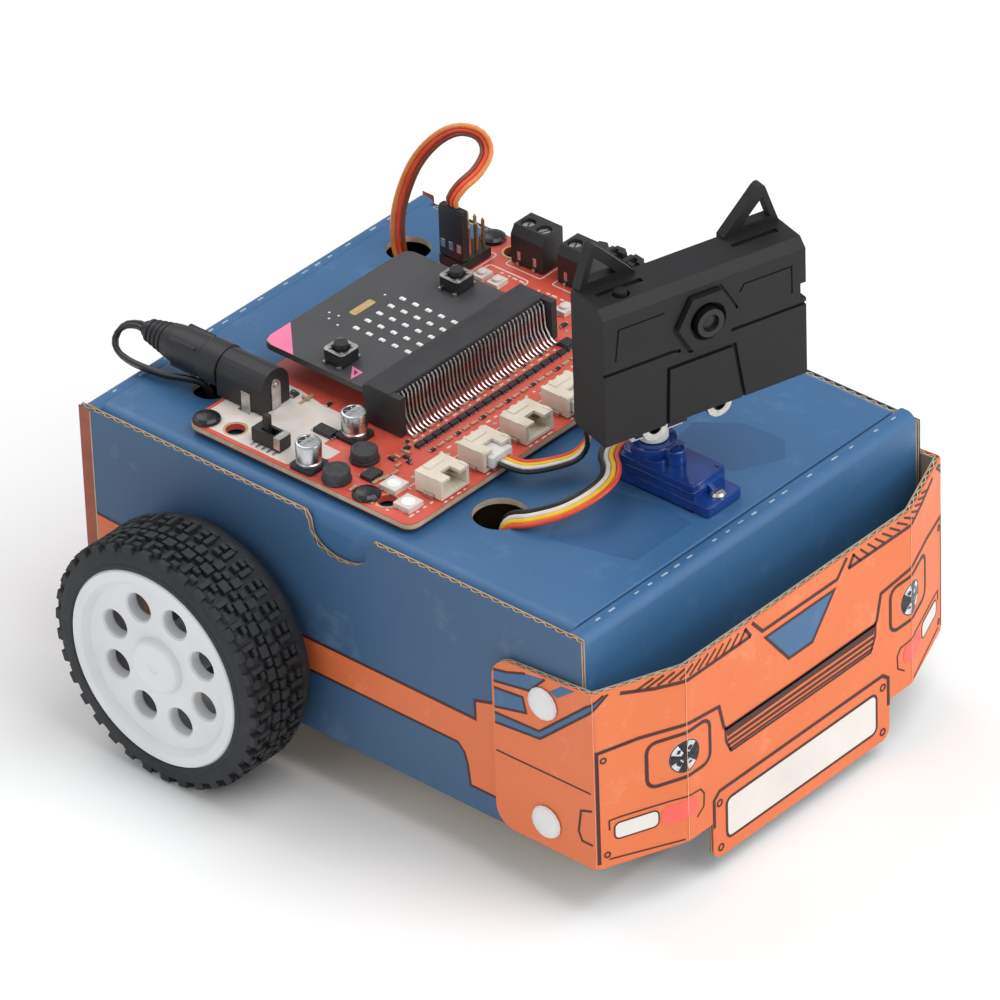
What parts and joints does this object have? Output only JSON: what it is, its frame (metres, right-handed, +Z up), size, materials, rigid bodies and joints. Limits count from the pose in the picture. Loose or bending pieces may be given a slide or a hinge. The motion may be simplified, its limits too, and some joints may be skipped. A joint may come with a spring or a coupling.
{
  "type": "line follower robot",
  "caption": "Two-wheeled line-following robot car with a folded carton body, a card bumper, stacked circuit boards on its hinged lid and a panning camera head with pointed ears.",
  "frame": {"origin": "on the ground, under the middle of the robot's box in X and Y, cords and their plugs left out", "axes": "the robot faces -Y, +Z is up, and its right side is at -X; the wheels turn about X"},
  "size_m": [0.1716, 0.1791, 0.1494],
  "materials": {
    "printed_blue_board": "matt print on corrugated board",
    "printed_orange_board": "matt print on corrugated board",
    "white_nylon": "moulded",
    "tyre_rubber": "block tread",
    "black_abs": "moulded",
    "yellow_abs": "moulded",
    "motor_can_metal": "drawn and plated",
    "cell_jacket": "printed film over a drawn can",
    "polished_steel": "polished ball",
    "red_circuit_board": "solder mask over laminate",
    "grey_circuit_board": "solder mask over laminate",
    "dark_circuit_board": "solder mask over laminate",
    "cream_nylon": "moulded",
    "white_plug_nylon": "moulded",
    "clear_blue_abs": "moulded, translucent",
    "black_silicone": "moulded sleeve, satin",
    "lens_barrel": "gloss",
    "servo_lead_pvc": "three bonded wires",
    "power_lead_pvc": "twin lead",
    "ribbon_pvc": "four coloured wires"
  },
  "bodies": {
    "chassis": {"carton_tray": "printed_blue_board", "bumper_strip": "printed_orange_board", "bumper_rivet_right_upper": "white_nylon", "bumper_rivet_right_lower": "white_nylon", "bumper_rivet_left_upper": "white_nylon", "bumper_rivet_left_lower": "white_nylon", "gearbox_right": "yellow_abs", "gearbox_left": "yellow_abs", "motor_can_right": "motor_can_metal", "motor_can_left": "motor_can_metal", "battery_holder": "black_abs", "battery_cells": "cell_jacket", "caster_housing": "black_abs", "line_sensor_board": "dark_circuit_board", "sensor_spacer_right": "white_nylon", "sensor_spacer_left": "white_nylon"},
    "lid": {"carton_lid": "printed_blue_board", "driver_board": "red_circuit_board", "board_rivet_rear_right": "black_abs", "board_rivet_front_right": "black_abs", "board_rivet_rear_left": "black_abs", "board_rivet_front_left": "black_abs", "edge_connector": "black_abs", "controller_board": "grey_circuit_board", "tact_switch_a": "black_abs", "tact_switch_b": "black_abs", "dc_jack": "black_abs", "dc_plug": "black_abs", "slide_switch_body": "black_abs", "port_1": "cream_nylon", "port_2": "cream_nylon", "port_3": "cream_nylon", "port_4": "cream_nylon", "port_plug_2": "white_plug_nylon", "port_plug_4": "white_plug_nylon", "screw_terminal_1": "black_abs", "screw_terminal_2": "black_abs", "servo_header": "black_abs", "servo_plug": "black_abs", "servo_body": "clear_blue_abs", "servo_lead": "servo_lead_pvc", "battery_lead": "power_lead_pvc", "camera_ribbon": "ribbon_pvc", "sensor_ribbon": "ribbon_pvc"},
    "camera_head": {"servo_horn": "white_nylon", "camera_bracket": "black_abs", "camera_case": "black_silicone", "camera_board": "dark_circuit_board", "camera_lens": "lens_barrel"},
    "camera_button": {"camera_button": "black_abs"},
    "wheel_right": {"wheel_rim_right": "white_nylon", "tyre_right": "tyre_rubber", "output_shaft_right": "white_nylon"},
    "wheel_left": {"wheel_rim_left": "white_nylon", "tyre_left": "tyre_rubber", "output_shaft_left": "white_nylon"},
    "caster_ball": {"caster_ball": "polished_steel"},
    "button_a": {"tact_button_a": "black_abs"},
    "button_b": {"tact_button_b": "black_abs"},
    "switch_knob": {"slide_switch_knob": "black_abs"}
  },
  "joints": [
    {"name": "wheel_right_spin", "type": "hinge", "parent": "chassis", "child": "wheel_right", "pos_m": [-0.0632, 0.0409, 0.0325], "axis": [1, 0, 0], "continuous": true},
    {"name": "wheel_left_spin", "type": "hinge", "parent": "chassis", "child": "wheel_left", "pos_m": [0.0632, 0.0409, 0.0325], "axis": [1, 0, 0], "continuous": true},
    {"name": "caster_roll", "type": "hinge", "parent": "chassis", "child": "caster_ball", "pos_m": [0, -0.0361, 0.006], "axis": [1, 0, 0], "continuous": true},
    {"name": "lid_hinge", "type": "hinge", "parent": "chassis", "child": "lid", "pos_m": [0, 0.0813, 0.076], "axis": [-1, 0, 0], "range_deg": [0, 35], "deforming": ["battery_lead", "sensor_ribbon"]},
    {"name": "camera_pan", "type": "hinge", "parent": "lid", "child": "camera_head", "pos_m": [0.001, -0.0406, 0.088], "axis": [0, 0, 1], "range_deg": [-73.5, 106.5], "deforming": ["camera_ribbon"]},
    {"name": "camera_button_press", "type": "slide", "parent": "camera_head", "child": "camera_button", "axis": [0, 0, -1], "range_m": [0, 0.0004], "stiffness_N_per_m": 400, "springref_m": -0.0002},
    {"name": "button_a_press", "type": "slide", "parent": "lid", "child": "button_a", "axis": [0, 0, -1], "range_m": [0, 0.00025], "stiffness_N_per_m": 400, "springref_m": -0.0002},
    {"name": "button_b_press", "type": "slide", "parent": "lid", "child": "button_b", "axis": [0, 0, -1], "range_m": [0, 0.00025], "stiffness_N_per_m": 400, "springref_m": -0.0002},
    {"name": "switch_slide", "type": "slide", "parent": "lid", "child": "switch_knob", "axis": [0, -1, 0], "range_m": [0, 0.002]}
  ]
}
